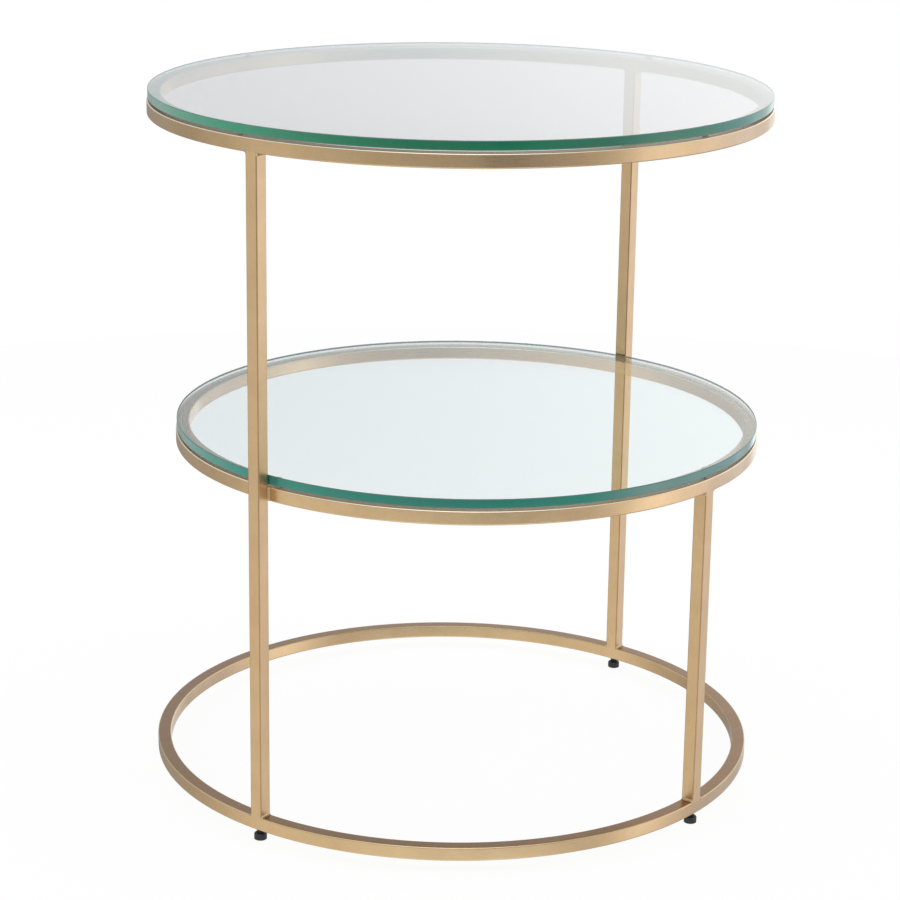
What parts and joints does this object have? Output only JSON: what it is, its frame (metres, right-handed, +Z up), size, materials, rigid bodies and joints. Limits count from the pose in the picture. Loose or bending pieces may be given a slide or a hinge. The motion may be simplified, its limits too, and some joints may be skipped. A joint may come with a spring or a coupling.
{
  "type": "tiered side table",
  "caption": "Round two-tier side table: clear glass discs resting on slim square-tube hoops in a brushed brass finish, on three legs and black levelling feet.",
  "frame": {"origin": "on the floor, under the centre of the base ring", "axes": "+Z up; the short leg stands on -Y; the long legs stand on -X (left) and +X (right)"},
  "size_m": [0.54, 0.54, 0.614],
  "materials": {
    "brass_finish": "brushed light gold",
    "steel": "zinc plated",
    "black_steel": "black oxide",
    "black_plastic": "moulded satin",
    "clear_glass": "clear float glass with polished green edges",
    "clear_bumper": "clear soft polyurethane"
  },
  "bodies": {
    "frame": {"base_ring": "brass_finish", "lower_ring": "brass_finish", "top_ring": "brass_finish", "long_leg_left": "brass_finish", "long_leg_right": "brass_finish", "short_leg": "brass_finish", "base_ring_welds": "brass_finish", "lower_ring_welds": "brass_finish", "top_ring_welds": "brass_finish", "foot_insert_left": "steel", "foot_insert_right": "steel", "foot_insert_front": "steel", "top_bumpers": "clear_bumper", "lower_bumpers": "clear_bumper"},
    "foot_left": {"foot_stem_left": "black_steel", "foot_cap_left": "black_plastic"},
    "foot_right": {"foot_stem_right": "black_steel", "foot_cap_right": "black_plastic"},
    "foot_front": {"foot_stem_front": "black_steel", "foot_cap_front": "black_plastic"},
    "top_pane": {"top_glass": "clear_glass"},
    "lower_pane": {"lower_glass": "clear_glass"}
  },
  "joints": [
    {"name": "foot_left_screw", "type": "slide", "parent": "frame", "child": "foot_left", "axis": [0, 0, -1], "range_m": [-0.0025, 0.005]},
    {"name": "foot_right_screw", "type": "slide", "parent": "frame", "child": "foot_right", "axis": [0, 0, -1], "range_m": [-0.0025, 0.005]},
    {"name": "foot_front_screw", "type": "slide", "parent": "frame", "child": "foot_front", "axis": [0, 0, -1], "range_m": [-0.0025, 0.005]},
    {"name": "top_pane_lift", "type": "slide", "parent": "frame", "child": "top_pane", "axis": [0, 0, 1], "range_m": [0, 0.1]},
    {"name": "lower_pane_lift", "type": "slide", "parent": "frame", "child": "lower_pane", "axis": [0, 0, 1], "range_m": [0, 0.1]}
  ]
}
